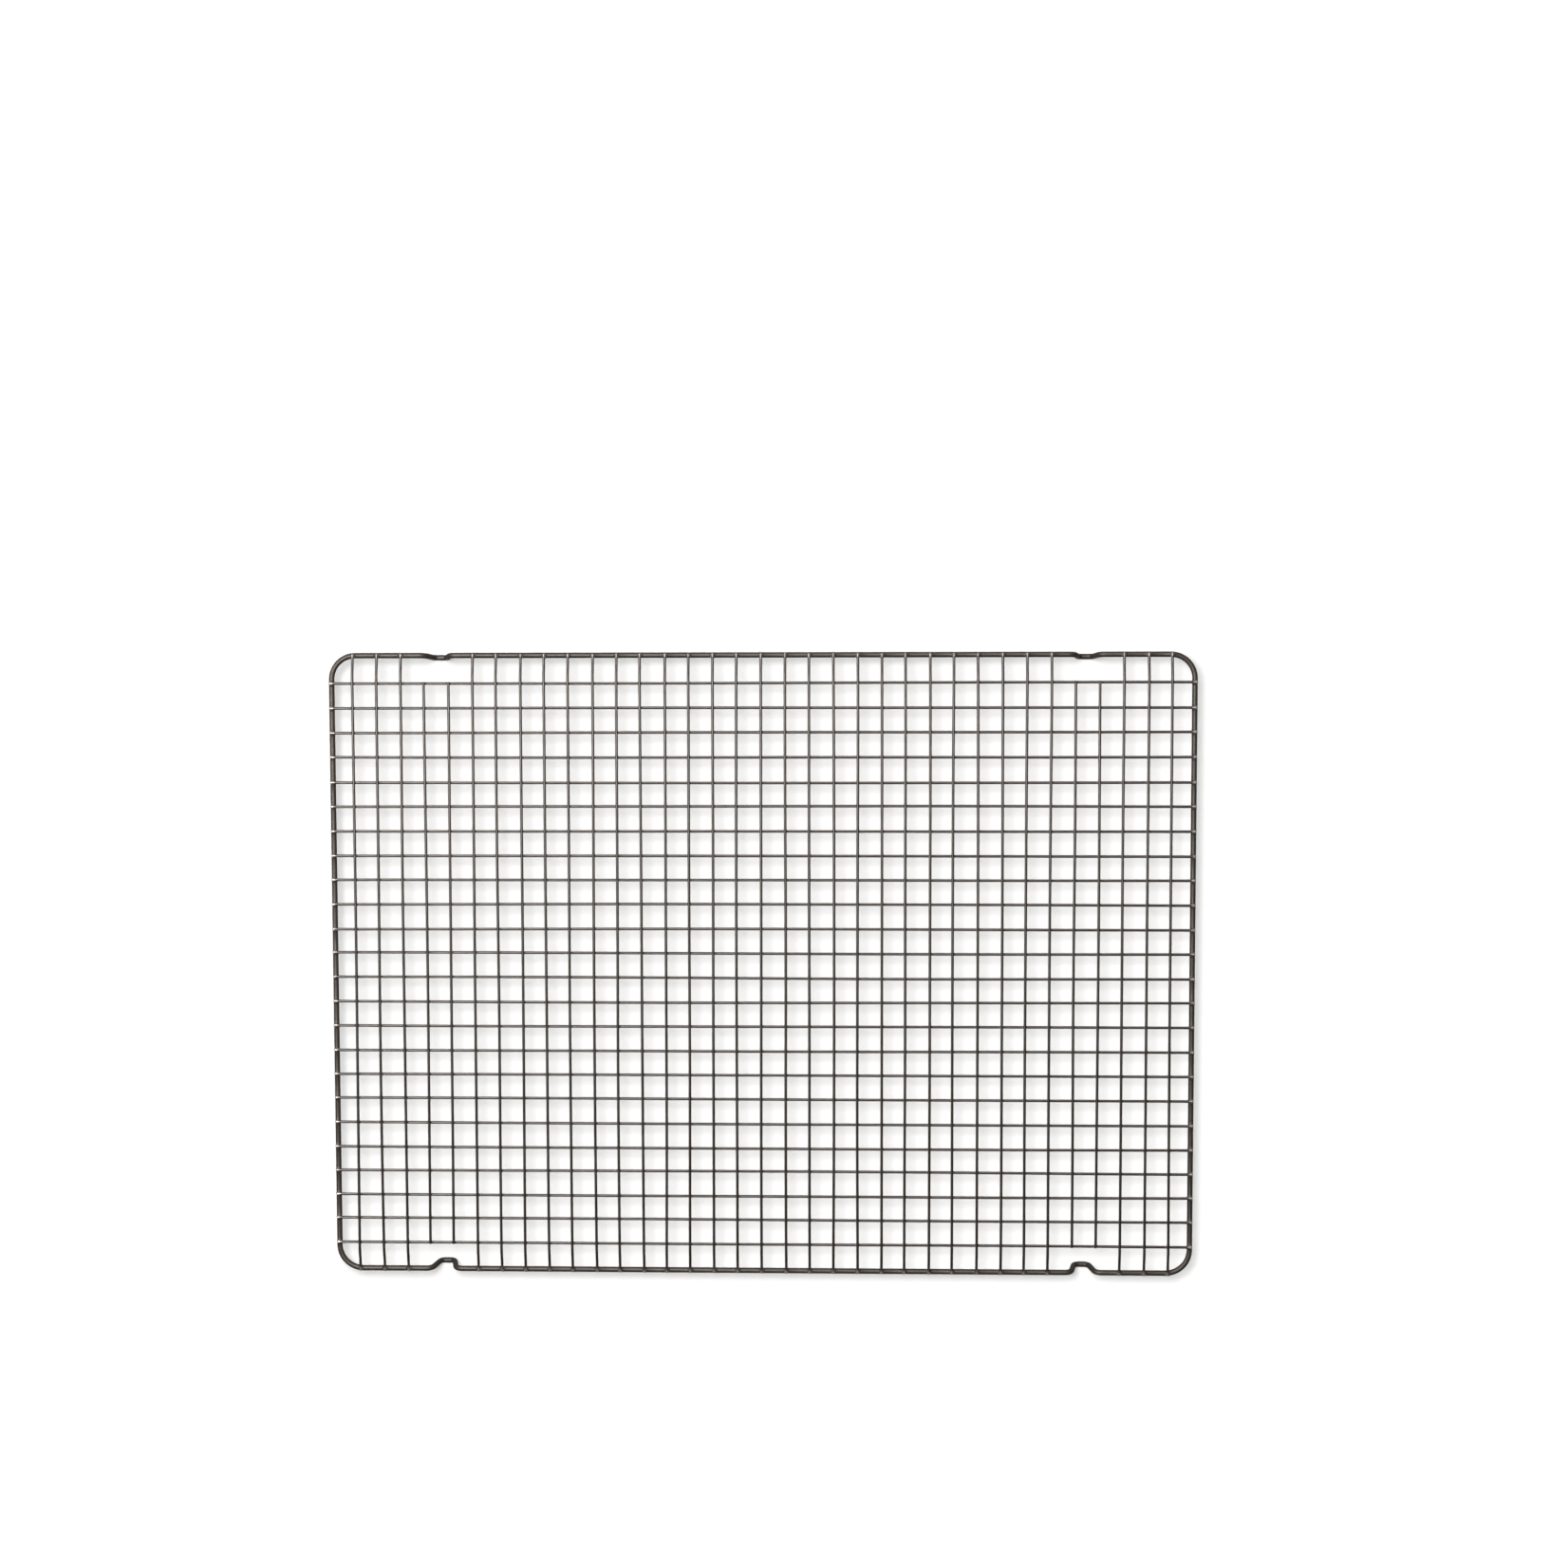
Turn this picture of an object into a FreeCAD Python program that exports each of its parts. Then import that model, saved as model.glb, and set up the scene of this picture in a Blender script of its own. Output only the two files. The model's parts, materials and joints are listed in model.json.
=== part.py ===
import FreeCAD, Part
import math
import os
from FreeCAD import Vector

# Welded-wire cooling rack.
#
# A thick frame wire is bent into a closed round-cornered rectangle that dips into
# four U-shaped feet, two on each long side. Thin long wires lie on its two short
# sides, and thin cross wires lie on top of them. Most cross wires come down at both
# ends to sit on the frame's long sides; those beside the feet are short and straight.
#
# Millimetres, +X along the long side, +Z up, origin on the table under the middle
# of the rack. Front is -Y.

# ---- overall size and wires -------------------------------------------------
overall_x = 508.0          # outside length of the frame
overall_y = 368.3          # outside width of the frame
overall_z = 19.0           # table to the crest of the cross wires

frame_wire_d = 3.2
grid_wire_d = 1.6
weld_setdown = 0.2         # how far a weld presses one wire into the next

cross_count = 35
cross_pitch = 14.08        # spacing of the cross wires along X
long_count = 24
long_pitch = 14.44         # spacing of the long wires along Y

# ---- frame bends and feet ---------------------------------------------------
corner_r = 14.0            # all bend radii are to the wire's axis

foot_x = 13.5 * cross_pitch   # feet sit midway between two cross wires
foot_top_half = 7.3        # half widths between the corners of the unrounded path
foot_bottom_half = 4.1
foot_top_bend_r = 4.4      # bar to leg
foot_bottom_bend_r = 3.4   # leg to foot bottom
foot_lean_deg = 5.5        # feet lean in towards the middle of the rack
foot_flat_depth = 0.06     # small flat on the underside of each foot
flat_cutter_depth = 5.0    # thickness of the box that cuts the flats

# ---- grid wire ends ---------------------------------------------------------
wire_end_past_axis = 1.1   # wire ends run this far past the frame wire's axis
short_end_past_axis = 0.75 # short cross wires run this far past the last long wire's axis
wire_end_round = 0.3       # edge rounding of a cut wire end
end_bend_start = 1.5       # cross wires start down this far outside the last long wire
end_land_half = 1.9        # and run level again this far inside the frame wire's axis

# ---- derived positions of the wire axes -------------------------------------
frame_r = frame_wire_d / 2
grid_r = grid_wire_d / 2
cross_z = overall_z - grid_r
long_z = cross_z - (grid_wire_d - weld_setdown)
frame_z = long_z - (frame_r + grid_r - weld_setdown)
land_z = long_z            # both grid layers rest on the same frame wire

half_x = overall_x / 2 - frame_r
half_y = overall_y / 2 - frame_r
last_long_y = (long_count - 1) / 2 * long_pitch

# The foot is set lower by the depth of its flat, so the flat lies on the table.
foot_drop = frame_z - (frame_r - foot_flat_depth)
foot_inset = foot_drop * math.tan(math.radians(foot_lean_deg))

# End of a cylinder or sweep is matched to its axis point within this distance.
end_tolerance = 1e-4


# ---- wire helpers -----------------------------------------------------------
def corner_arc(before, corner, after, radius):
    """Start, middle and end of the arc that rounds a corner."""
    to_before = (before - corner).normalize()
    to_after = (after - corner).normalize()
    half_angle = to_before.getAngle(to_after) / 2
    setback = radius / math.tan(half_angle)
    bisector = (to_before + to_after).normalize()
    centre = corner + bisector * (radius / math.sin(half_angle))
    return (corner + to_before * setback,
            centre - bisector * radius,
            corner + to_after * setback)


def rounded_path(start, corners, end):
    """Edges from start to end through (point, bend radius) corners."""
    points = [start] + [point for point, radius in corners] + [end]
    edges = []
    line_start = start
    for i, (point, radius) in enumerate(corners):
        # points[i] and points[i + 2] are the neighbours of corner i
        arc = corner_arc(points[i], point, points[i + 2], radius)
        edges.append(Part.makeLine(line_start, arc[0]))
        edges.append(Part.Arc(*arc).toShape())
        line_start = arc[2]
    edges.append(Part.makeLine(line_start, end))
    return edges


def sweep(edges, radius):
    """Round wire along a smooth chain of edges."""
    first = edges[0]
    start = first.valueAt(first.FirstParameter)
    tangent = first.tangentAt(first.FirstParameter)
    profile = Part.Wire([Part.makeCircle(radius, start, tangent)])
    solid = Part.Wire(edges).makePipeShell([profile], True, False)
    if solid.ShapeType != "Solid":
        solid = solid.Solids[0]
    # a sweep can come out inside out
    if solid.Volume < 0:
        solid.reverse()
    return solid


def round_ends(solid, ends):
    """Break the sharp edge of each cut end."""
    rims = []
    for edge in solid.Edges:
        if not isinstance(edge.Curve, Part.Circle) or len(edge.Vertexes) != 1:
            continue
        if any((edge.Curve.Center - end).Length < end_tolerance for end in ends):
            rims.append(edge)
    return solid.makeFillet(wire_end_round, rims)


def make_rod(start, end):
    """Straight grid wire with rounded ends."""
    along = end - start
    rod = Part.makeCylinder(grid_r, along.Length, start, along)
    return round_ends(rod, [start, end])


# ---- frame wire -------------------------------------------------------------
def foot_corners(x, side):
    """Corners of the foot at x on the front (side -1) or back (side 1) bar.

    The front bar is walked along +X and the back bar along -X.
    """
    direction = -side
    bar_y = side * half_y
    bottom_y = bar_y - side * foot_inset
    bottom_z = frame_z - foot_drop
    top_reach = direction * foot_top_half
    bottom_reach = direction * foot_bottom_half
    return [
        (Vector(x - top_reach, bar_y, frame_z), foot_top_bend_r),
        (Vector(x - bottom_reach, bottom_y, bottom_z), foot_bottom_bend_r),
        (Vector(x + bottom_reach, bottom_y, bottom_z), foot_bottom_bend_r),
        (Vector(x + top_reach, bar_y, frame_z), foot_top_bend_r),
    ]


def make_frame_half(end):
    """Half of the loop at +X (end 1) or -X (end -1), anticlockwise from above."""
    corners = foot_corners(end * foot_x, -end)
    corners += [(Vector(end * half_x, side * half_y, frame_z), corner_r)
                for side in (-end, end)]
    corners += foot_corners(end * foot_x, end)
    start = Vector(0, -end * half_y, frame_z)
    finish = Vector(0, end * half_y, frame_z)
    return sweep(rounded_path(start, corners, finish), frame_r)


def make_frame_wire():
    # the loop is swept as two open halves, joined at the middles of the long bars
    loop = make_frame_half(1).fuse(make_frame_half(-1)).removeSplitter()
    # everything below the table is cut away, which leaves the flats on the feet
    below_table = Part.makeBox(overall_x, overall_y, flat_cutter_depth,
                               Vector(-overall_x / 2, -overall_y / 2, -flat_cutter_depth))
    return loop.cut(below_table)


# ---- long wires, counted from the back --------------------------------------
def make_long_wire(index):
    tip_x = half_x + wire_end_past_axis
    y = last_long_y - index * long_pitch
    return make_rod(Vector(-tip_x, y, long_z), Vector(tip_x, y, long_z))


# ---- cross wires, counted from -X -------------------------------------------
def s_bend(start, end):
    """Two equal tangent arcs between level runs, in a plane of constant x."""
    run = end.y - start.y
    rise = end.z - start.z
    radius = (run ** 2 + rise ** 2) / (4 * abs(rise))
    arc_angle = math.asin(abs(run) / 2 / radius)
    # offset from either end of the bend to the middle of its arc
    halfway = Vector(0,
                     math.copysign(radius * math.sin(arc_angle / 2), run),
                     math.copysign(radius * (1 - math.cos(arc_angle / 2)), rise))
    middle = (start + end) * 0.5
    return [Part.Arc(start, start + halfway, middle).toShape(),
            Part.Arc(middle, end - halfway, end).toShape()]


def make_cross_wire(index):
    x = (index - (cross_count - 1) / 2) * cross_pitch

    # the wires on either side of a foot stop just past the last long wire
    if abs(abs(x) - foot_x) < cross_pitch:
        tip_y = last_long_y + short_end_past_axis
        return make_rod(Vector(x, -tip_y, cross_z), Vector(x, tip_y, cross_z))

    tip_y = half_y + wire_end_past_axis
    land_y = half_y - end_land_half
    top_y = last_long_y + end_bend_start
    front_tip, back_tip = [Vector(x, side * tip_y, land_z) for side in (-1, 1)]
    front_land, back_land = [Vector(x, side * land_y, land_z) for side in (-1, 1)]
    front_top, back_top = [Vector(x, side * top_y, cross_z) for side in (-1, 1)]
    edges = [
        Part.makeLine(front_tip, front_land),
        *s_bend(front_land, front_top),
        Part.makeLine(front_top, back_top),
        *s_bend(back_top, back_land),
        Part.makeLine(back_land, back_tip),
    ]
    return round_ends(sweep(edges, grid_r), [front_tip, back_tip])


# ---- write one file per wire ------------------------------------------------
def build():
    shapes = {"frame_wire": make_frame_wire()}
    for i in range(long_count):
        shapes["long_wire_%02d" % (i + 1)] = make_long_wire(i)
    for i in range(cross_count):
        shapes["cross_wire_%02d" % (i + 1)] = make_cross_wire(i)
    return shapes


os.makedirs("parts", exist_ok=True)
for name, shape in build().items():
    # booleans and fillets may wrap their one solid in a compound
    if shape.ShapeType != "Solid" and len(shape.Solids) == 1:
        shape = shape.Solids[0]
    if not shape.isValid() or len(shape.Solids) != 1:
        raise ValueError("%s is not one valid solid" % name)
    shape.exportStep(os.path.join("parts", name + ".step"))
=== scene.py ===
"""A wire rack: thin grid wires welded together on a thicker frame wire with four feet.

The rack lies flat with its feet on the floor at z = 0. X runs along the long wires, Y along
the cross wires that lie on top of them, and the middle of the rack is at x = y = 0. Lengths
are in millimetres until a mesh is built; the stage, lights and camera are in metres.
"""

import json
import math

import bpy
import numpy as np
from mathutils import Matrix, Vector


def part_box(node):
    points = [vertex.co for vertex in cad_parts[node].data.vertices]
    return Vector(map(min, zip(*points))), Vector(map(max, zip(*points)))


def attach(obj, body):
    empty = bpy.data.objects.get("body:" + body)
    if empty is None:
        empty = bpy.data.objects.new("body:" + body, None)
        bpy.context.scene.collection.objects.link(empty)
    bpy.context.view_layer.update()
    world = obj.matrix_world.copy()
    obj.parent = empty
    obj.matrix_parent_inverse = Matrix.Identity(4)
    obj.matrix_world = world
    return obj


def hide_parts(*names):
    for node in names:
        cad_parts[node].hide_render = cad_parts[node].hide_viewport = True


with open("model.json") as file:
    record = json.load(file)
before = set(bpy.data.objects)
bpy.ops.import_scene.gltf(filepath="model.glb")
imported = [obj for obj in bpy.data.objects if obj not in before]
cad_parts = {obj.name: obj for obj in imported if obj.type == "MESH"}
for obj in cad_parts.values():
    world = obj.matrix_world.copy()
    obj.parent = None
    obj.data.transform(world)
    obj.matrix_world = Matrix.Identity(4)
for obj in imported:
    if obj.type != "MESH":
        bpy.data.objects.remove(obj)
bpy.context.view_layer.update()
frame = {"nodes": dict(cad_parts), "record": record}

MM = 0.001
rng = np.random.default_rng(35)

# ---------------------------------------------------------------------------
# Sizes (mm)
# ---------------------------------------------------------------------------

R_GRID = 0.8
R_FRAME = 1.6
SETDOWN = 0.2                   # how far a weld presses two wires together
CORNER_R = 14.0                 # bend of the frame wire at the rack's corners
FOOT_TOP_HALF, FOOT_BOTTOM_HALF = 7.3, 4.1      # half widths of a foot along X
FOOT_TOP_R, FOOT_BOTTOM_R = 4.4, 3.4            # bend radii of a foot
FOOT_LEAN = math.radians(5.5)   # the feet lean in towards the middle of the rack
FOOT_FLAT = 0.06                # depth of the flat under each foot
BEND_START = 1.5                # from the last long wire to a cross wire's downward bend
LAND_HALF = 1.9                 # the bend ends this far inside the frame wire's axis

END_R = 0.34                    # rounding of a cut wire end
END_DOME = 0.06                 # length left for the dome beyond the rounding
END_ANGLES = np.radians([22, 45, 67, 86])       # rings round the rounded edge
DOME_RINGS = ((0.05, 0.62), (0.075, 0.28))      # rise, share of the flat's radius
DOME_TIP = 0.006                # rise of the end point above the last dome ring

WELD_K = 0.85                   # size of the fillet where thin wires cross
FRAME_K = 1.6                   # and where a thin wire meets the frame
WELD_REACH = 3.0                # rings this near a weld look for the other wire
PRESS_DEPTH = 0.05              # electrode marks
PRESS_HALF = 1.5
COLLAR_RISE, COLLAR_HALF = 0.07, 0.9            # butt weld of the frame wire

GRID_SIDES, FRAME_SIDES = 16, 24
GRID_GAP, FRAME_GAP = 4.8, 5.5  # widest gap between rings on a straight
# Ring distances to either side of a weld
CLUSTER = np.array([0, 0.25, 0.5, 0.72, 0.94, 1.16, 1.4, 1.7, 2.1])
DROP_RINGS = 11                 # rings along a cross wire's downward bend
ARC_STEP = 6.5                  # degrees between rings on the frame wire's bends

# ---------------------------------------------------------------------------
# Places, from the boxes of the design's own pieces (mm)
# ---------------------------------------------------------------------------


def node_box(name):
    lo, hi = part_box(name)
    return np.array(lo) / MM, np.array(hi) / MM


def middle(box, axis):
    return (box[0][axis] + box[1][axis]) / 2


mounts = {m["name"]: np.array(m["pos_m"]) / MM for m in frame["record"]["mounts"]}
cross_names = sorted(n for n in frame["nodes"] if n.startswith("cross_wire"))
long_names = sorted(n for n in frame["nodes"] if n.startswith("long_wire"))
cross_box = {n: node_box(n) for n in cross_names}
long_box = {n: node_box(n) for n in long_names}
cross_x = {n: middle(cross_box[n], 0) for n in cross_names}
long_y = {n: middle(long_box[n], 1) for n in long_names}
frame_hi = node_box("frame_wire")[1]

half_x = frame_hi[0] - R_FRAME                  # axis of the frame wire
half_y = frame_hi[1] - R_FRAME
frame_z = frame_hi[2] - R_FRAME
land_z = frame_z + R_FRAME + R_GRID - SETDOWN   # axis of a thin wire lying on the frame
long_z = float(np.mean([middle(box, 2) for box in long_box.values()]))
cross_z = max(box[1][2] for box in cross_box.values()) - R_GRID
foot_x = min(round(abs(pos[0]), 3) for n, pos in mounts.items() if n.startswith("rest_"))
foot_drop = frame_z - (R_FRAME - FOOT_FLAT)

full_cross = [n for n in cross_names if cross_box[n][1][1] > half_y]
tip_y = max(cross_box[n][1][1] for n in full_cross)
short_tip_y = min(box[1][1] for box in cross_box.values())
tip_x = max(box[1][0] for box in long_box.values())
bend_y = max(long_y.values()) + BEND_START      # where a cross wire starts to drop
landed_y = half_y - LAND_HALF                   # and where it is down

# ---------------------------------------------------------------------------
# Wander: wires are straightened from a coil and spaced by hand, so each one
# strays by a few tenths of a millimetre between its ends
# ---------------------------------------------------------------------------


class Wander:
    LIMIT = 0.7

    def __init__(self, length, shift, bow, kinks):
        self.length = length
        self.shift = rng.normal(0, shift)
        self.slope = rng.normal(0, shift * 0.8)
        self.bow = rng.normal(0, bow)
        self.waves = [(rng.normal(0, kinks / (k + 1)), rng.uniform(0, 2 * math.pi), k + 2)
                      for k in range(3)]

    def __call__(self, along):
        u = np.asarray(along, float) / (self.length / 2)
        stray = self.shift + self.slope * u + self.bow * (1 - u * u)
        for size, phase, order in self.waves:
            stray = stray + size * np.sin(order * math.pi * u / 2 + phase)
        return self.LIMIT * np.tanh(stray / self.LIMIT)


cross_wander = {n: Wander(2 * half_y, shift=0.20, bow=0.20, kinks=0.09) for n in cross_names}
long_wander = {n: Wander(2 * half_x, shift=0.18, bow=0.24, kinks=0.11) for n in long_names}


def x_of(cross, y):
    return cross_x[cross] + cross_wander[cross](y)


def y_of(long, x):
    return long_y[long] + long_wander[long](x)


def slope_of(place, name, along, step=0.5):
    """Sideways slope of a wire, where place is x_of or y_of."""
    return (place(name, along + step) - place(name, along - step)) / (2 * step)


def crossing(cross, long):
    x, y = cross_x[cross], long_y[long]
    for _ in range(4):
        x = float(x_of(cross, y))
        y = float(y_of(long, x))
    return x, y


cross_at = {(c, g): crossing(c, g) for c in cross_names for g in long_names}

# ---------------------------------------------------------------------------
# Tubes
# ---------------------------------------------------------------------------


def unit(v):
    return v / np.linalg.norm(v, axis=-1, keepdims=True) if False else (
        v / np.linalg.norm(v, axis=-1, keepdims=True))


class Neighbours:
    """For each ring, the straight piece of other wire whose weld it may blend into."""

    ALONG_X, ALONG_Y = (1, 0, 0), (0, 1, 0)

    def __init__(self, count):
        self.point = np.zeros((count, 3))
        self.direction = np.tile([1.0, 0, 0], (count, 1))
        self.lo = np.full(count, -1e4)
        self.hi = np.full(count, 1e4)
        self.radius = np.full(count, 1.0)
        self.fillet = np.zeros(count)

    def set(self, mask, point, direction, radius, fillet, span=(-1e4, 1e4)):
        self.point[mask] = point
        self.direction[mask] = direction
        self.lo[mask], self.hi[mask] = span
        self.radius[mask], self.fillet[mask] = radius, fillet

    def distance(self, rows, at):
        offset = at - self.point[rows]
        direction = self.direction[rows]
        along = np.clip((offset * direction).sum(1), self.lo[rows], self.hi[rows])
        return np.linalg.norm(offset - direction * along[:, None], axis=1) - self.radius[rows]


def blend_out(base, normal, rows, near):
    """How far each point moves out along its normal so that the coating fills the
    crevice between two welded wires with a smooth fillet."""
    out = np.zeros(len(base))
    fillet = near.fillet[rows]
    gap = near.distance(rows, base)
    todo = np.nonzero((fillet > 0) & (gap < fillet) & (gap > 0))[0]
    for _ in range(40):
        if not len(todo):
            break
        moved = base[todo] + normal[todo] * out[todo, None]
        gap = near.distance(rows[todo], moved)
        size = fillet[todo]
        share = np.maximum(size - np.abs(out[todo] - gap), 0) / size
        field = np.minimum(out[todo], gap) - share * share * size / 4
        go = (field < -1e-4) & (out[todo] < gap) & (out[todo] < size * 0.3)
        todo = todo[go]
        out[todo] += np.maximum(-field[go] * 0.9, 5e-4)
    return out


def end_rings(count, radius):
    """Ring to copy, shift along the wire and radius for every ring of an open wire:
    a quarter round at each cut end, then a shallow dome towards the middle."""
    flat_r = radius[0] - END_R
    steps = [(-END_R * math.sin(a), flat_r + END_R * math.cos(a)) for a in END_ANGLES]
    steps += [(-END_R - rise, flat_r * share) for rise, share in DOME_RINGS]
    head = steps[::-1]
    rows = np.array([0] * len(head) + list(range(count)) + [count - 1] * len(steps))
    shift = np.array([s for s, _ in head] + [0.0] * count + [-s for s, _ in steps])
    return rows, shift, np.array([r for _, r in head] + list(radius) + [r for _, r in steps])


def tube_mesh(name, centre, axes, radius, sides, near, coat, flatten, closed=False):
    """A swept round wire as quads. axes holds each ring's side, up and tangent; side and
    up span its plane. coat adds thickness and flatten presses the finished rings."""
    side, up, tangent = axes
    count = len(centre)
    radius = np.broadcast_to(np.asarray(radius, float), count)
    rows = np.arange(count)
    if not closed:
        rows, shift, radius = end_rings(count, radius)
        centre = centre[rows] + tangent[rows] * shift[:, None]
        side, up, tangent = side[rows], up[rows], tangent[rows]
    total = len(centre)
    angle = np.arange(sides) / sides * 2 * math.pi
    normal = (side[:, None, :] * np.cos(angle)[None, :, None]
              + up[:, None, :] * np.sin(angle)[None, :, None])
    base = (centre[:, None, :] + normal * radius[:, None, None]).reshape(-1, 3)
    normal = normal.reshape(-1, 3)
    out = blend_out(base, normal, np.repeat(rows, sides), near) + coat(base)
    rings = (base + normal * out[:, None]).reshape(total, sides, 3)
    verts = flatten(rings, centre).reshape(-1, 3)

    ring = np.arange(total if closed else total - 1)[:, None]
    j = np.arange(sides)
    after = (j + 1) % sides
    next_ring = (ring + 1) % total
    quads = np.stack([ring * sides + j, ring * sides + after,
                      next_ring * sides + after, next_ring * sides + j], -1).reshape(-1, 4)
    tris = np.zeros((0, 3), int)
    if not closed:
        tip = len(verts)
        last = (total - 1) * sides
        verts = np.vstack([verts, centre[0] - tangent[0] * DOME_TIP,
                           centre[-1] + tangent[-1] * DOME_TIP])
        tris = np.vstack([np.stack([after, j, np.full(sides, tip)], -1),
                          np.stack([last + j, last + after, np.full(sides, tip + 1)], -1)])
    return build_mesh(name, verts * MM, quads, tris)


def build_mesh(name, verts, quads, tris):
    """A smooth-shaded object from vertices in metres."""
    mesh = bpy.data.meshes.new(name)
    mesh.vertices.add(len(verts))
    mesh.vertices.foreach_set("co", verts.astype(np.float32).ravel())
    loops = np.concatenate([quads.ravel(), tris.ravel()]).astype(np.int32)
    mesh.loops.add(len(loops))
    mesh.loops.foreach_set("vertex_index", loops)
    starts = np.concatenate([np.arange(len(quads)) * 4,
                             len(quads) * 4 + np.arange(len(tris)) * 3]).astype(np.int32)
    mesh.polygons.add(len(starts))
    mesh.polygons.foreach_set("loop_start", starts)
    mesh.polygons.foreach_set("use_smooth", np.ones(len(starts), bool))
    mesh.update(calc_edges=True)
    mesh.validate()
    obj = bpy.data.objects.new(name, mesh)
    bpy.context.scene.collection.objects.link(obj)
    return obj


def stations(lo, hi, welds, filler=GRID_GAP, extra=()):
    """Ring places along a wire: close together at every weld, sparse between."""
    places = [lo, hi, *extra]
    for weld in welds:
        places += list(weld + CLUSTER) + list(weld - CLUSTER)
    places = sorted(s for s in places if lo - 1e-9 <= s <= hi + 1e-9)
    keep = [places[0]]
    for s in places[1:]:
        if s - keep[-1] > 0.12:
            keep.append(s)
    if hi - keep[-1] > 1e-9:
        keep[-1] = hi
    out = [keep[0]]
    for s in keep[1:]:
        start, gap = out[-1], s - out[-1]
        if gap > filler:
            parts = int(math.ceil(gap / filler))
            # each filler ring is placed from the start of the gap
            out += [start + gap * k / parts for k in range(1, parts)]
        out.append(s)
    return np.array(out)


def orange_peel(scale, depth, seed):
    """Slow unevenness of the sprayed coating's thickness, a few hundredths of a mm."""
    draw = np.random.default_rng(seed)
    directions = unit(draw.normal(size=(7, 3)))
    frequencies = draw.uniform(0.6, 2.2, 7) * scale
    phases = draw.uniform(0, 2 * math.pi, 7)

    def thickness(points):
        total = np.zeros(len(points))
        for direction, frequency, phase in zip(directions, frequencies, phases):
            total += np.sin((points @ direction) * frequency + phase)
        return depth * total / 7
    return thickness


def press(welds, axis, face_z, facing):
    """Electrode marks: the wire is squashed flat by a few hundredths at each weld.
    facing is 1 for a mark on the top face and -1 for one underneath."""
    welds = np.asarray(welds, float)
    trim = np.minimum if facing > 0 else np.maximum

    def flatten(rings, centre):
        away = np.min(np.abs(centre[:, axis][:, None] - welds[None, :]), axis=1)
        weight = np.clip(1 - (away / PRESS_HALF) ** 2, 0, 1) ** 1.5
        limit = (face_z - facing * PRESS_DEPTH * weight)[:, None]
        z = rings[:, :, 2]
        rings[:, :, 2] = np.where(weight[:, None] > 0, trim(z, limit), z)
        return rings
    return flatten


# ---- long wires: straight, lying on the frame's two short sides --------------


def make_long(name):
    end = tip_x - END_R - END_DOME
    welds = [cross_at[(cross, name)][0] for cross in cross_names]
    s = stations(-end, end, welds + [-half_x, half_x])
    count = len(s)
    centre = np.stack([s, y_of(name, s), np.full(count, long_z)], 1)
    tangent = unit(np.stack([np.ones(count), slope_of(y_of, name, s), np.zeros(count)], 1))
    up = np.tile([0, 0, 1.0], (count, 1))
    side = np.cross(up, tangent)
    near = Neighbours(count)
    for cross in cross_names:
        x, y = cross_at[(cross, name)]
        near.set(np.abs(s - x) < WELD_REACH, [x, y, cross_z], near.ALONG_Y, R_GRID, WELD_K)
    for sign in (-1, 1):
        near.set(np.abs(s - sign * half_x) < 4.0, [sign * half_x, 0, frame_z],
                 near.ALONG_Y, R_FRAME, FRAME_K)
    return tube_mesh(name + ".coated", centre, (side, up, tangent), R_GRID, GRID_SIDES, near,
                     coat=orange_peel(scale=0.5, depth=0.018, seed=1000 + long_names.index(name)),
                     flatten=press(welds, axis=0, face_z=long_z - R_GRID, facing=-1))


# ---- cross wires: on top, the full ones bent down onto the frame's long sides --


def drop_profile(y):
    """Height of a full cross wire's axis and its slope: two equal arcs down each end."""
    length, drop = landed_y - bend_y, cross_z - land_z
    r = (length ** 2 + drop ** 2) / (4 * drop)
    out = np.abs(y)
    z = np.full(len(out), cross_z)
    slope = np.zeros(len(out))
    half_way = (bend_y + landed_y) / 2
    first = (out > bend_y) & (out <= half_way)
    second = (out > half_way) & (out < landed_y)
    for part, u, level, sign in ((first, out[first] - bend_y, cross_z, -1),
                                 (second, landed_y - out[second], land_z, 1)):
        root = np.sqrt(r * r - u * u)
        z[part] = level + sign * (r - root)
        slope[part] = -u / root
    z[out >= landed_y] = land_z
    return z, slope * np.sign(y)


def make_cross(name):
    full = name in full_cross
    end = (tip_y if full else short_tip_y) - END_R - END_DOME
    welds = [cross_at[(name, long)][1] for long in long_names]
    if full:
        drop = np.linspace(bend_y, landed_y, DROP_RINGS)
        s = stations(-end, end, welds + [-half_y, half_y], extra=[*drop, *-drop])
        z, slope_z = drop_profile(s)
    else:
        s = stations(-end, end, welds)
        z, slope_z = np.full(len(s), cross_z), np.zeros(len(s))
    count = len(s)
    centre = np.stack([x_of(name, s), s, z], 1)
    tangent = unit(np.stack([slope_of(x_of, name, s), np.ones(count), slope_z], 1))
    side = unit(np.cross(np.tile([0, 0, 1.0], (count, 1)), tangent))
    up = np.cross(tangent, side)
    near = Neighbours(count)
    for long in long_names:
        x, y = cross_at[(name, long)]
        near.set(np.abs(s - y) < WELD_REACH, [x, y, long_z], near.ALONG_X, R_GRID, WELD_K)
    if full:
        for sign in (-1, 1):
            near.set(np.abs(s - sign * half_y) < 4.5, [0, sign * half_y, frame_z],
                     near.ALONG_X, R_FRAME, FRAME_K)
    return tube_mesh(name + ".coated", centre, (side, up, tangent), R_GRID, GRID_SIDES, near,
                     coat=orange_peel(scale=0.5, depth=0.018, seed=2000 + cross_names.index(name)),
                     flatten=press(welds, axis=1, face_z=cross_z + R_GRID, facing=1))


# ---- frame wire: closed loop with four bent feet ------------------------------


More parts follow.
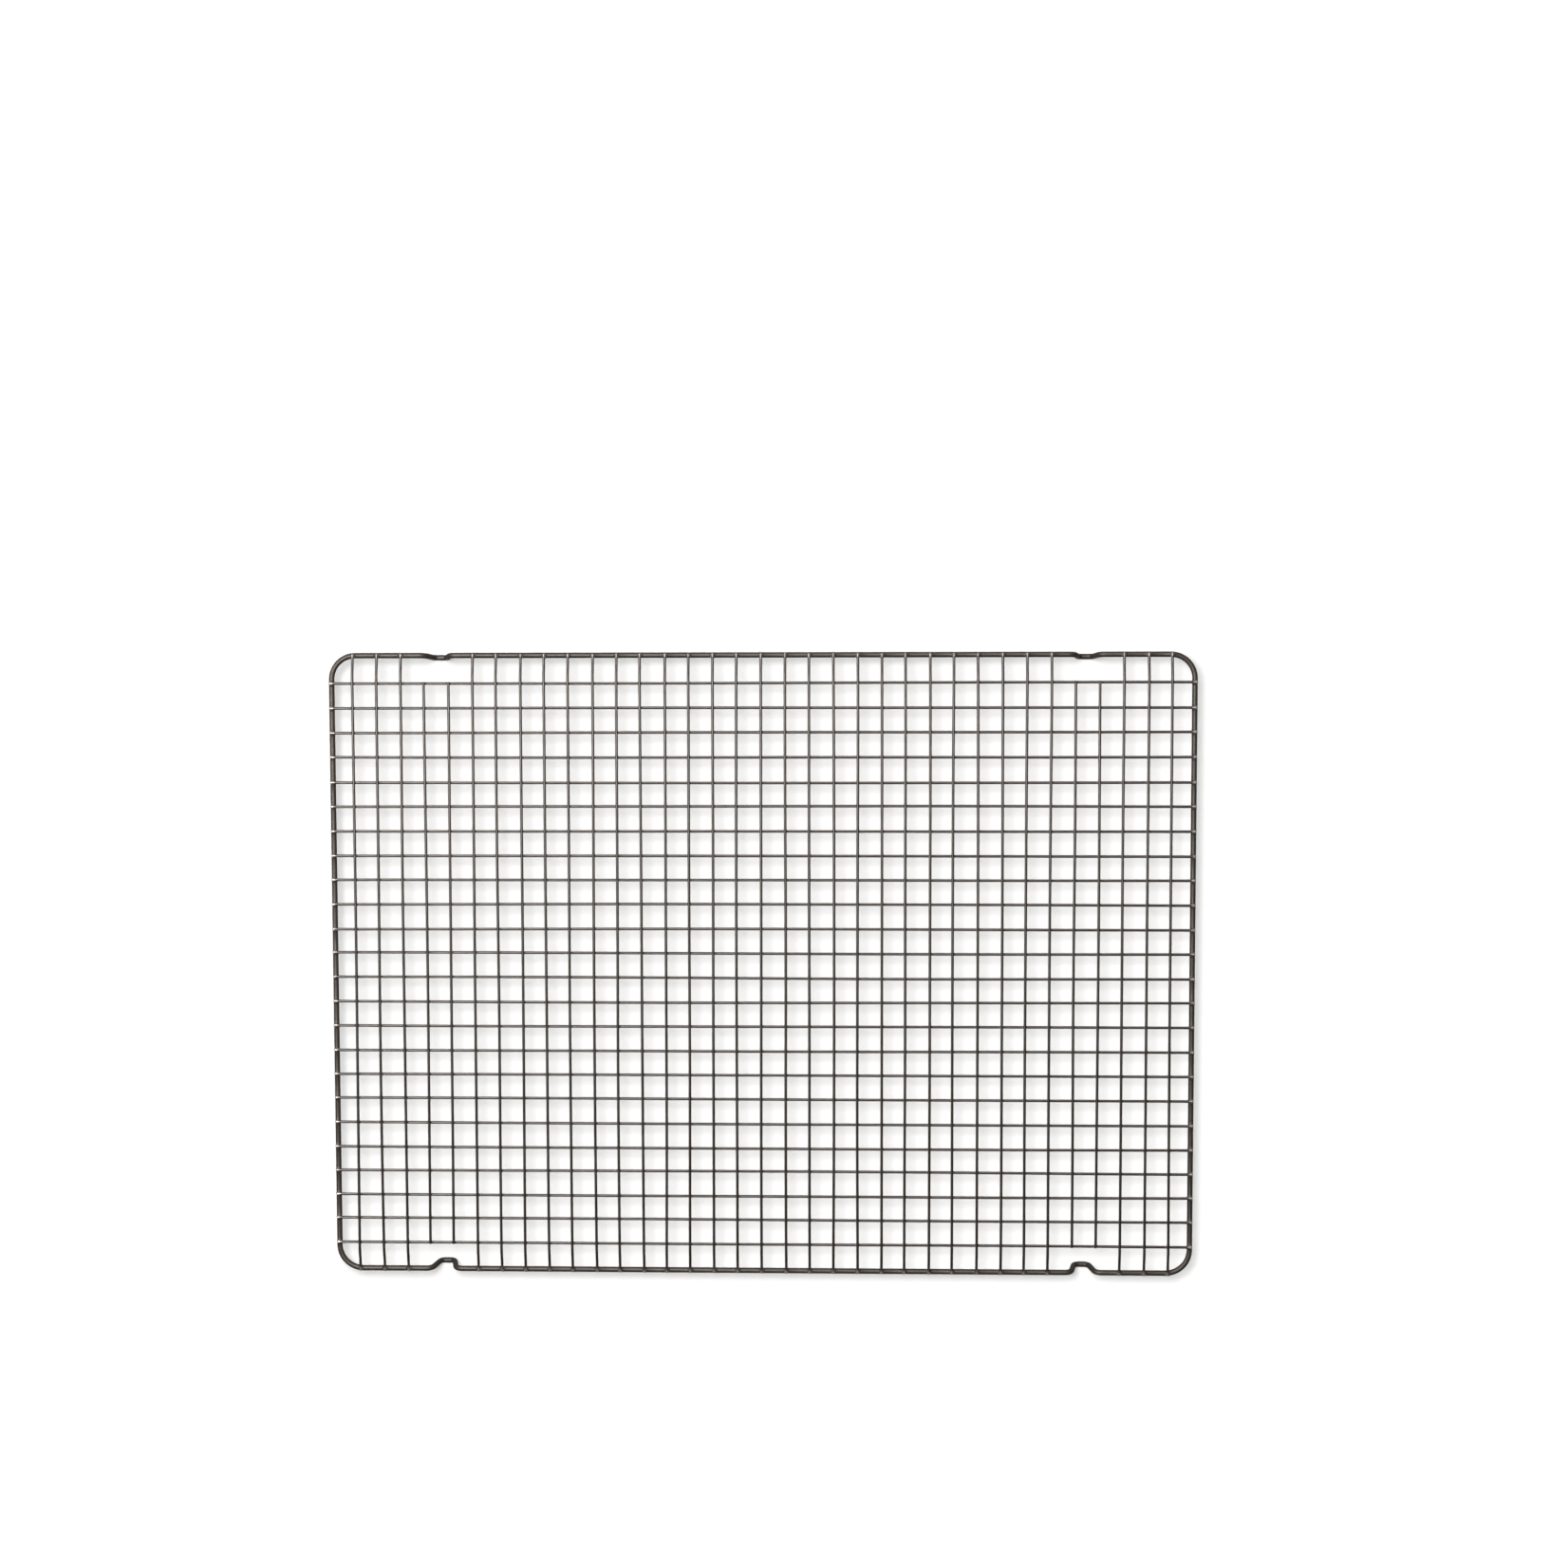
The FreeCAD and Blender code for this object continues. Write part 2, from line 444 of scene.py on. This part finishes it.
def frame_corners():
    """Corner points and bend radii of the loop, anticlockwise seen from above, from the
    middle of the -Y side."""
    def foot(x, sign):
        top_y = sign * half_y
        low_y = top_y - sign * foot_drop * math.tan(FOOT_LEAN)
        low_z = frame_z - foot_drop
        return [((x + sign * FOOT_TOP_HALF, top_y, frame_z), FOOT_TOP_R),
                ((x + sign * FOOT_BOTTOM_HALF, low_y, low_z), FOOT_BOTTOM_R),
                ((x - sign * FOOT_BOTTOM_HALF, low_y, low_z), FOOT_BOTTOM_R),
                ((x - sign * FOOT_TOP_HALF, top_y, frame_z), FOOT_TOP_R)]

    def corner(sign_x, sign_y):
        return (sign_x * half_x, sign_y * half_y, frame_z), CORNER_R

    corners = [((0, -half_y, frame_z), 0),
               *foot(foot_x, -1), corner(1, -1), corner(1, 1), *foot(foot_x, 1),
               *foot(-foot_x, 1), corner(-1, 1), corner(-1, -1), *foot(-foot_x, -1)]
    return np.array([point for point, _ in corners], float), [r for _, r in corners]


def straight_welds(start, direction, length):
    """Places of the thin wires' welds along one straight of the frame wire."""
    if abs(direction[2]) >= 1e-6 or abs(start[2] - frame_z) >= 1e-6:
        return []
    if abs(direction[0]) > 0.9:
        welds = [(cross_x[n] - start[0]) * direction[0] for n in full_cross]
    else:
        welds = [(long_y[n] - start[1]) * direction[1] for n in long_names]
    return [w for w in welds if -2.2 < w < length + 2.2]


def loop_samples():
    """Centres and tangents round the loop, with the path made of straights and arcs."""
    points, radii = frame_corners()
    count = len(points)
    bends = []                  # start, end and centre of each arc
    for i, r in enumerate(radii):
        here = points[i]
        if r == 0:
            bends.append((here, here, None))
            continue
        a, b = unit(points[i - 1] - here), unit(points[(i + 1) % count] - here)
        half = math.acos(float(np.clip(a @ b, -1, 1))) / 2
        cut = r / math.tan(half)
        bends.append((here + a * cut, here + b * cut, here + unit(a + b) * r / math.sin(half)))
    centres, tangents = [], []
    for i in range(count):
        j = (i + 1) % count
        start = bends[i][1]
        end, leave, centre = bends[j]
        length = float(np.linalg.norm(end - start))
        if length > 1e-6:
            direction = (end - start) / length
            welds = straight_welds(start, direction, length)
            for s in stations(0.0, length, welds, filler=FRAME_GAP)[:-1]:
                centres.append(start + direction * s)
                tangents.append(direction)
        if centre is not None:
            u, v = end - centre, leave - centre
            r = radii[j]
            total = math.acos(float(np.clip((u @ v) / (r * r), -1, 1)))
            w = unit(v - u * (u @ v) / (r * r)) * r
            steps = max(6, int(math.ceil(math.degrees(total) / ARC_STEP)))
            for k in range(steps):
                a = total * k / steps
                centres.append(centre + u * math.cos(a) + w * math.sin(a))
                tangents.append(unit(-u * math.sin(a) + w * math.cos(a)))
    return np.array(centres), np.array(tangents)


def untwisted_axes(tangent):
    """Side and up of each ring, carried round the loop with the closing twist shared out."""
    count = len(tangent)
    up = np.zeros((count, 3))
    up[0] = [0, 0, 1.0]
    for i in range(1, count):
        last = up[i - 1]
        up[i] = unit(last - tangent[i] * (last @ tangent[i]))
    back = unit(up[-1] - tangent[0] * (up[-1] @ tangent[0]))
    side = np.cross(up, tangent)
    twist = math.atan2(float(back @ side[0]), float(back @ up[0]))
    a = -twist * np.arange(count) / count
    cos, sin = np.cos(a)[:, None], np.sin(a)[:, None]
    return side * cos - up * sin, up * cos + side * sin


def make_frame():
    centre, tangent = loop_samples()
    side, up = untwisted_axes(tangent)
    near = Neighbours(len(centre))
    level = np.abs(centre[:, 2] - frame_z) < 0.4

    def weld(sign, axis, point, overhang):
        """Blend into a thin wire along axis, which ends a little outside the frame."""
        away = np.abs(centre - np.array(point))
        mask = level & (away[:, 1 - axis] < 3.6) & (away[:, axis] < 3.0)
        reach = overhang - 0.45
        near.set(mask, point, (near.ALONG_X, near.ALONG_Y)[axis], R_GRID, FRAME_K,
                 span=(-5.0, reach) if sign > 0 else (-reach, 5.0))

    for n in full_cross:
        for sign in (-1, 1):
            y = sign * half_y
            weld(sign, 1, [float(x_of(n, y)), y, land_z], tip_y - half_y)
    for n in long_names:
        for sign in (-1, 1):
            x = sign * half_x
            weld(sign, 0, [x, float(y_of(n, x)), long_z], tip_x - half_x)

    # butt weld in the middle of the +Y side: a slight collar left after trimming the flash
    away = np.linalg.norm(centre - np.array([0.0, half_y, frame_z]), axis=1)
    radius = R_FRAME + COLLAR_RISE * np.exp(-(away / COLLAR_HALF) ** 2)

    def flatten_feet(rings, _centre):
        rings[:, :, 2] = np.maximum(rings[:, :, 2], 0.0)
        return rings

    return tube_mesh("frame_wire.coated", centre, (side, up, tangent), radius, FRAME_SIDES,
                     near, coat=orange_peel(scale=0.4, depth=0.02, seed=7),
                     flatten=flatten_feet, closed=True)


# ---------------------------------------------------------------------------
# Materials
# ---------------------------------------------------------------------------


class Graph:
    """Short ways to add shader nodes. An input takes a value or another node's output."""

    def __init__(self, owner):
        owner.use_nodes = True
        self.tree = owner.node_tree
        self.tree.nodes.clear()

    def node(self, kind, inputs=None, **settings):
        node = self.tree.nodes.new("ShaderNode" + kind)
        for key, value in settings.items():
            setattr(node, key, value)
        for key, value in (inputs or {}).items():
            if isinstance(value, bpy.types.NodeSocket):
                self.tree.links.new(value, node.inputs[key])
            else:
                node.inputs[key].default_value = value
        return node

    def math(self, operation, a, b):
        return self.node("Math", {0: a, 1: b}, operation=operation).outputs[0]

    def ramp(self, value, lo, hi, low=0.0, high=1.0, **settings):
        """Maps lo..hi onto low..high and clamps."""
        inputs = {"Value": value, "From Min": lo, "From Max": hi, "To Min": low, "To Max": high}
        return self.node("MapRange", inputs, **settings).outputs["Result"]

    def mix(self, factor, a, b):
        """Mixes colours; sockets 6 and 7 are the colour inputs A and B, output 2 the colour."""
        a, b = ((*c, 1.0) if isinstance(c, tuple) else c for c in (a, b))
        return self.node("Mix", {0: factor, 6: a, 7: b}, data_type="RGBA").outputs[2]


def painted_glint_mask(g, coords, mottle):
    """Painted highlight: where a wire end lies on the frame, ragged patches of pale metallic
    colour stand in for the glints of light there, half as strong at the Y ends."""
    place = g.node("SeparateXYZ", {0: coords})
    ragged = g.ramp(mottle, 0.30, 0.70, -1.1 * MM, 1.1 * MM)
    over = []
    for axis, edge, share in (("X", half_x, 1.0), ("Y", half_y, 0.5)):
        out = g.math("ABSOLUTE", place.outputs[axis], 0.0)
        out = g.math("ADD", out, ragged)
        over.append(g.ramp(out, (edge - 1.6) * MM, (edge - 0.3) * MM, high=share))
    glint_patches = g.math("MAXIMUM", over[0], over[1])
    return g.math("MULTIPLY", glint_patches, g.ramp(mottle, 0.34, 0.50, 0.45, 0.85))


def coating(name, tint, seed, rough_lo, rough_hi, sheen, worn_ends):
    """Dark warm-grey non-stick coating baked on steel wire: satin, faintly mottled,
    with a fine orange-peel skin, tiny pale flakes and a slight burnish on the crests."""
    mat = bpy.data.materials.new(name)
    g = Graph(mat)
    coords = g.node("TexCoord").outputs["Object"]

    def noise(scale, detail, roughness, w):
        inputs = {"Vector": coords, "Scale": scale, "Detail": detail,
                  "Roughness": roughness, "W": w + seed}
        return g.node("TexNoise", inputs, noise_dimensions="4D").outputs["Fac"]

    def shade(factor, lift=0.0):
        return tuple(c * factor + lift for c in tint)

    # slow drift of tone along the rack
    cloud = noise(scale=45.0, detail=3.0, roughness=0.55, w=0.0)
    # patches about a millimetre across
    mottle = noise(scale=700.0, detail=4.0, roughness=0.6, w=3.1)
    # pigment grain
    grain = noise(scale=5200.0, detail=2.0, roughness=0.5, w=7.7)
    # orange peel, about 0.4 mm
    peel = noise(scale=2300.0, detail=2.0, roughness=0.45, w=11.3)

    colour = g.mix(g.ramp(cloud, 0.35, 0.65), shade(0.80), shade(1.22))
    colour = g.mix(g.ramp(mottle, 0.38, 0.62, high=0.55), colour, tint)
    flakes = g.ramp(grain, 0.66, 0.74, high=0.50)
    colour = g.mix(flakes, colour, shade(2.3, lift=0.006))

    # crests that plates and hands touch are a little burnished
    normal = g.node("NewGeometry").outputs["Normal"]
    facing = g.node("SeparateXYZ", {0: normal}).outputs["Z"]
    crest = g.math("MULTIPLY", g.ramp(facing, 0.90, 1.0), g.ramp(mottle, 0.45, 0.60))
    colour = g.mix(g.math("MULTIPLY", crest, 0.22), colour, shade(1.7))

    rough = g.ramp(mottle, 0.30, 0.70, rough_lo, rough_hi)
    rough = g.math("SUBTRACT", rough, g.math("MULTIPLY", crest, 0.05))
    rough = g.math("ADD", rough, g.math("MULTIPLY", flakes, 0.10))

    height = g.math("ADD", g.math("MULTIPLY", peel, 1.0), g.math("MULTIPLY", grain, 0.25))
    bump = g.node("Bump", {"Strength": 0.35, "Distance": 0.00002, "Height": height})

    inputs = {"Roughness": rough, "Normal": bump.outputs["Normal"], "IOR": 1.50,
              "Specular IOR Level": sheen, "Specular Tint": (1.0, 0.93, 0.87, 1.0)}
    # painted highlight: pale metallic patches at the wire ends stand in for the glints of light
    # where the ends lie on the frame
    if worn_ends:
        glint_patches = painted_glint_mask(g, coords, mottle)
        painted_glint_colour = (0.275, 0.250, 0.230)
        colour = g.mix(glint_patches, colour, painted_glint_colour)
        inputs["Metallic"] = g.math("MULTIPLY", glint_patches, 0.9)
    inputs["Base Color"] = colour
    bsdf = g.node("BsdfPrincipled", inputs)
    g.node("OutputMaterial", {"Surface": bsdf.outputs[0]})
    return mat


grid_mat = coating("coating_grid", tint=(0.0095, 0.0056, 0.0034), seed=1.0,
                   rough_lo=0.32, rough_hi=0.40, sheen=0.56, worn_ends=True)
frame_mat = coating("coating_frame", tint=(0.0140, 0.0102, 0.0076), seed=5.0,
                    rough_lo=0.46, rough_hi=0.55, sheen=0.44, worn_ends=False)

# ---------------------------------------------------------------------------
# Build the rack
# ---------------------------------------------------------------------------


def place(obj, node, mat, slot):
    obj.data.materials.append(mat)
    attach(obj, "root")
    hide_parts(node)


place(make_frame(), "frame_wire", frame_mat, "frame_coating")
for name in long_names:
    place(make_long(name), name, grid_mat, "grid_coating")
for name in cross_names:
    place(make_cross(name), name, grid_mat, "grid_coating")

# ---------------------------------------------------------------------------
# Stage (m): pale floor, white surroundings, one soft box beside the camera
# ---------------------------------------------------------------------------

WHITE = (1.0, 1.0, 1.0, 1.0)
LAMP = (-0.160, 0.375, 1.24)
LAMP_SIZE = 0.58
LAMP_LEVEL = 2.20               # light the lamp puts on the floor under itself
LAMP_TYPICAL = 0.84             # share of that level taken as typical of the floor
SKY_LEVEL = 0.38                # and the white room, in the same units
SKY_TILT = (-0.6, 0.8, 0.0)     # the room is brighter towards -X and +Y
SHEEN_ROOM = 0.35               # how much of the room shows in the sheen
FLOOR_GLOW, FLOOR_ALBEDO = 0.345, 0.336     # a lit-from-below sweep: part glow, part paper
FLOOR_HALF, FLOOR_Z = 7.0, -0.00001


def floor_paper():
    """Paper a shade darker under the lamp, so that it looks evenly white."""
    mat = bpy.data.materials.new("floor_paper")
    g = Graph(mat)
    position = g.node("NewGeometry").outputs["Position"]
    offset = g.node("VectorMath", {0: position, 1: (LAMP[0], LAMP[1], 0.0)},
                    operation="SUBTRACT").outputs[0]
    away2 = g.node("VectorMath", {0: offset, 1: offset},
                   operation="DOT_PRODUCT").outputs["Value"]
    height2 = LAMP[2] ** 2
    cos2 = g.math("DIVIDE", height2, g.math("ADD", away2, height2))
    lamp_light = g.math("MULTIPLY", g.math("MULTIPLY", cos2, cos2), LAMP_LEVEL)
    typical = LAMP_LEVEL * LAMP_TYPICAL + SKY_LEVEL
    albedo = g.math("DIVIDE", FLOOR_ALBEDO * typical, g.math("ADD", lamp_light, SKY_LEVEL))
    albedo = g.math("MINIMUM", albedo, 0.9)
    grey = g.node("CombineColor", {0: albedo, 1: albedo, 2: albedo})
    diffuse = g.node("BsdfDiffuse", {"Color": grey.outputs[0]})
    # far from the rack the sweep stays white up to the walls
    path = g.node("LightPath")
    far = g.ramp(g.math("SQRT", away2, 0.0), 0.6, 2.4, high=1.0 - FLOOR_GLOW,
                 interpolation_type="SMOOTHSTEP")
    far = g.math("MULTIPLY", far, path.outputs["Is Camera Ray"])
    strength = g.math("ADD", far, FLOOR_GLOW)
    glow = g.node("Emission", {"Color": WHITE, "Strength": strength})
    paper = g.node("AddShader", {0: diffuse.outputs[0], 1: glow.outputs[0]})
    # glossy rays see the paper dimmed to SHEEN_ROOM of its brightness: painted shade on the
    # floor's reflection in the coating
    share = g.math("MULTIPLY", path.outputs["Is Glossy Ray"], 1.0 - SHEEN_ROOM)
    black = g.node("Emission", {"Strength": 0.0})
    seen = g.node("MixShader", {0: share, 1: paper.outputs[0], 2: black.outputs[0]})
    g.node("OutputMaterial", {"Surface": seen.outputs[0]})
    return mat


def make_floor():
    ends = (-FLOOR_HALF, FLOOR_HALF)
    verts = np.array([[x, y, FLOOR_Z] for y in ends for x in ends])
    obj = build_mesh("floor", verts, np.array([[0, 1, 3, 2]]), np.zeros((0, 3), int))
    obj.data.materials.append(floor_paper())


def make_world():
    world = bpy.data.worlds.new("studio")
    g = Graph(world)
    bpy.context.scene.world = world
    ray = g.node("TexCoord").outputs["Generated"]
    tilt = g.node("VectorMath", {0: ray, 1: SKY_TILT}, operation="DOT_PRODUCT")
    sky = g.ramp(tilt.outputs["Value"], -0.8, 0.8, SKY_LEVEL * 0.2, SKY_LEVEL * 1.8)
    # seen in the sheen, the room is dimmer than the light it gives
    path = g.node("LightPath")
    dim = g.ramp(path.outputs["Is Glossy Ray"], 0.0, 1.0, 1.0, SHEEN_ROOM)
    room = g.node("Background", {"Color": WHITE, "Strength": g.math("MULTIPLY", sky, dim)})
    white = g.node("Background", {"Color": WHITE, "Strength": 1.0})
    pick = g.node("MixShader", {0: path.outputs["Is Camera Ray"],
                                1: room.outputs[0], 2: white.outputs[0]})
    g.node("OutputWorld", {"Surface": pick.outputs[0]})


def area_lamp(name, at, power, **settings):
    data = bpy.data.lights.new(name, "AREA")
    data.energy = power
    for key, value in settings.items():
        setattr(data, key, value)
    lamp = bpy.data.objects.new(name, data)
    bpy.context.scene.collection.objects.link(lamp)
    lamp.location = at
    lamp.visible_camera = False
    return lamp


def sheen_panel(name, at, size_x, size_y, radiance, tip=0.0):
    """A large panel that only shows in the coating's sheen; tip turns it about X."""
    panel = area_lamp(name, at, radiance * math.pi * size_x * size_y,
                      shape="RECTANGLE", size=size_x, size_y=size_y)
    panel.rotation_euler = (math.radians(tip), 0.0, 0.0)
    panel.visible_diffuse = False


def make_camera():
    """Camera above the rack, looking almost straight down."""
    right = (0.9995559, -0.0018482, -0.0297426)
    up = (0.0000515, 0.9981805, -0.0602973)
    back = (0.0298000, 0.0602690, 0.9977372)
    at = (0.0499611, 0.1808166, 1.2351462)
    data = bpy.data.cameras.new("camera")
    data.sensor_width = 36.0
    data.lens = 47.9418886
    data.clip_start, data.clip_end = 0.02, 50.0
    camera = bpy.data.objects.new("camera", data)
    bpy.context.scene.collection.objects.link(camera)
    columns = ((*right, 0), (*up, 0), (*back, 0), (*at, 1))
    camera.matrix_world = Matrix(columns).transposed()
    bpy.context.scene.camera = camera


make_floor()
make_world()

# an area lamp of power P gives P / (pi * h^2) straight below it, and the floor
# returns 1 / pi of the light that falls on it
soft_box = area_lamp("soft_box", LAMP, LAMP_LEVEL * math.pi * math.pi * LAMP[2] ** 2,
                     shape="DISK", size=LAMP_SIZE, color=(1.0, 0.985, 0.965))
soft_box.visible_glossy = False
sheen_panel("left_panel", (-0.60, 0.26, 1.26), size_x=0.60, size_y=0.50, radiance=29.0)
sheen_panel("overhead_panel", (-0.10, 0.20, 1.26), size_x=0.80, size_y=0.42, radiance=9.0)
sheen_panel("back_panel", (-0.60, 1.05, 1.20), size_x=2.40, size_y=0.80, radiance=6.0,
            tip=-45.0)
make_camera()

view = bpy.context.scene.view_settings
view.view_transform = "Standard"
view.look = "None"
view.exposure = 0.0
view.gamma = 1.0
